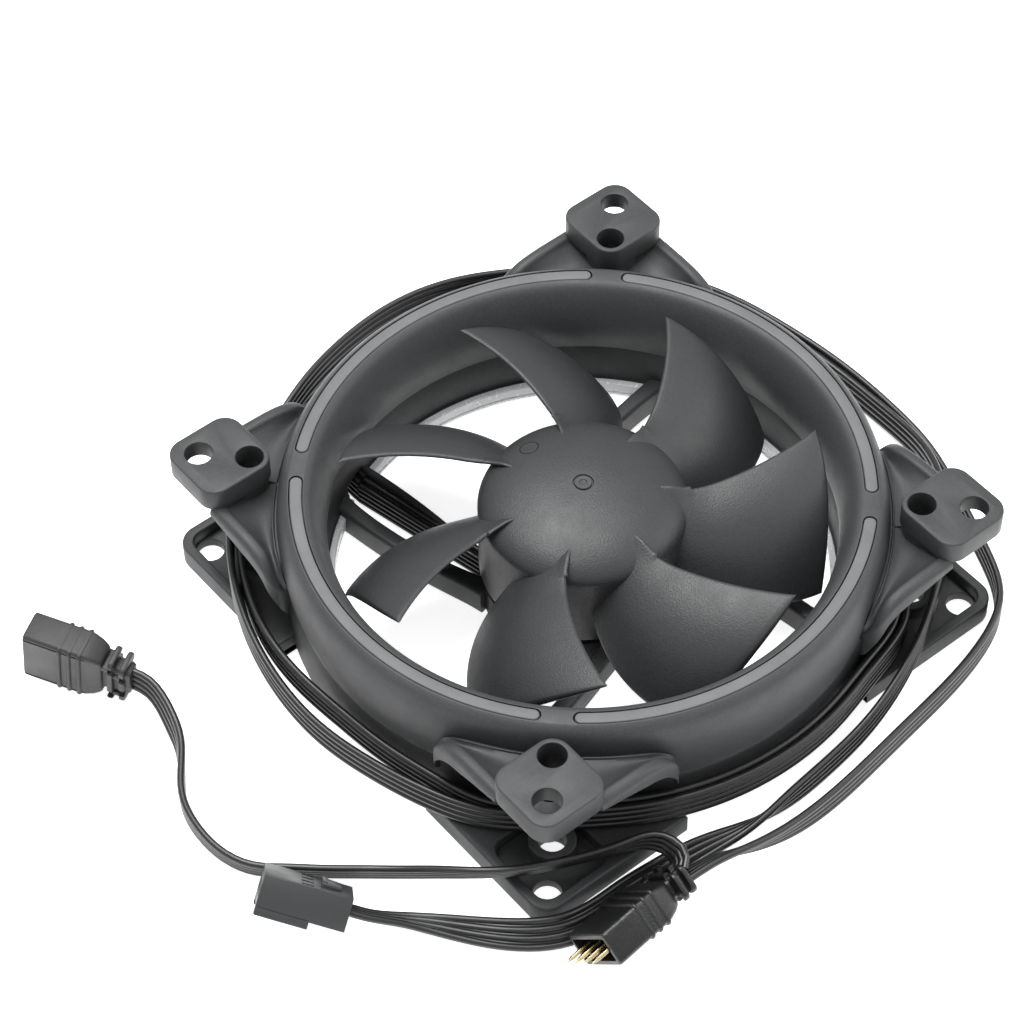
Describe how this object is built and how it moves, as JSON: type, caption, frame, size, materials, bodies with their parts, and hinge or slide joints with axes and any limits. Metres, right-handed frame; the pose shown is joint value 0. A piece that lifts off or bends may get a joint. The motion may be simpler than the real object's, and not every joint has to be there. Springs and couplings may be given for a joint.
{
  "type": "case fan",
  "caption": "Square case fan with a lit front ring, corner mounting pads, a pinwheel rear frame, and flat cables wound round it that end in small plugs.",
  "frame": {"origin": "on the rotor's axis, at the rear face that the fan lies on", "axes": "+Z along the rotor's axis from the rear face to the lit front face; +X and +Y along the square's sides"},
  "size_m": [0.1386, 0.1182, 0.025],
  "materials": {
    "frame_plastic": "fine moulded texture, black",
    "bezel_plastic": "satin moulded black",
    "diffuser": "frosted smoke-grey diffuser, unlit",
    "clear_ring": "frosted clear light ring, unlit",
    "white_board": "white solder mask",
    "led_body": "small LED packages",
    "black_screw": "black oxide",
    "label": "plain grey foil label",
    "green_board": "green solder mask",
    "chip": "black epoxy",
    "lamination": "stacked electrical steel",
    "bobbin": "natural nylon",
    "copper_wire": "enamelled copper",
    "brass": "machined",
    "bronze": "sintered, oiled",
    "cable_jacket": "soft satin jacket, black",
    "moulded_plug": "black over-moulding",
    "moulded_socket": "charcoal over-moulding",
    "insert": "black insert",
    "gold_pin": "gold plated",
    "plug_housing": "dark grey moulded nylon",
    "tinned": "tinned phosphor bronze",
    "rotor_plastic": "fine sparkling moulded texture, charcoal",
    "yoke_steel": "plated deep-drawn steel",
    "magnet": "bonded ferrite",
    "shaft_steel": "ground steel"
  },
  "bodies": {
    "root": {"rear_frame": "frame_plastic", "front_frame": "bezel_plastic", "light_diffuser": "diffuser", "inner_light_ring": "clear_ring", "led_board": "white_board", "leds": "led_body", "frame_screws": "black_screw", "hub_label": "label", "motor_board": "green_board", "hall_sensor": "chip", "stator_core": "lamination", "stator_insulator": "bobbin", "windings": "copper_wire", "bearing_tube": "brass", "bearing_sleeve": "bronze", "thrust_washer": "bobbin", "motor_leads": "cable_jacket", "light_plug_body": "moulded_plug", "light_plug_insert": "insert", "light_plug_pins": "gold_pin", "light_socket_body": "moulded_socket", "light_socket_insert": "insert", "light_socket_contacts": "gold_pin", "fan_plug_housing": "plug_housing", "fan_plug_terminals": "tinned", "fan_cable": "cable_jacket", "light_cable": "cable_jacket", "link_cable": "cable_jacket"},
    "rotor": {"impeller": "rotor_plastic", "rotor_yoke": "yoke_steel", "magnet_ring": "magnet", "rotor_shaft": "shaft_steel", "retaining_clip": "shaft_steel"}
  },
  "joints": [
    {"name": "rotor_spin", "type": "hinge", "parent": "root", "child": "rotor", "pos_m": [0, 0, 0.012], "axis": [0, 0, 1], "continuous": true}
  ]
}
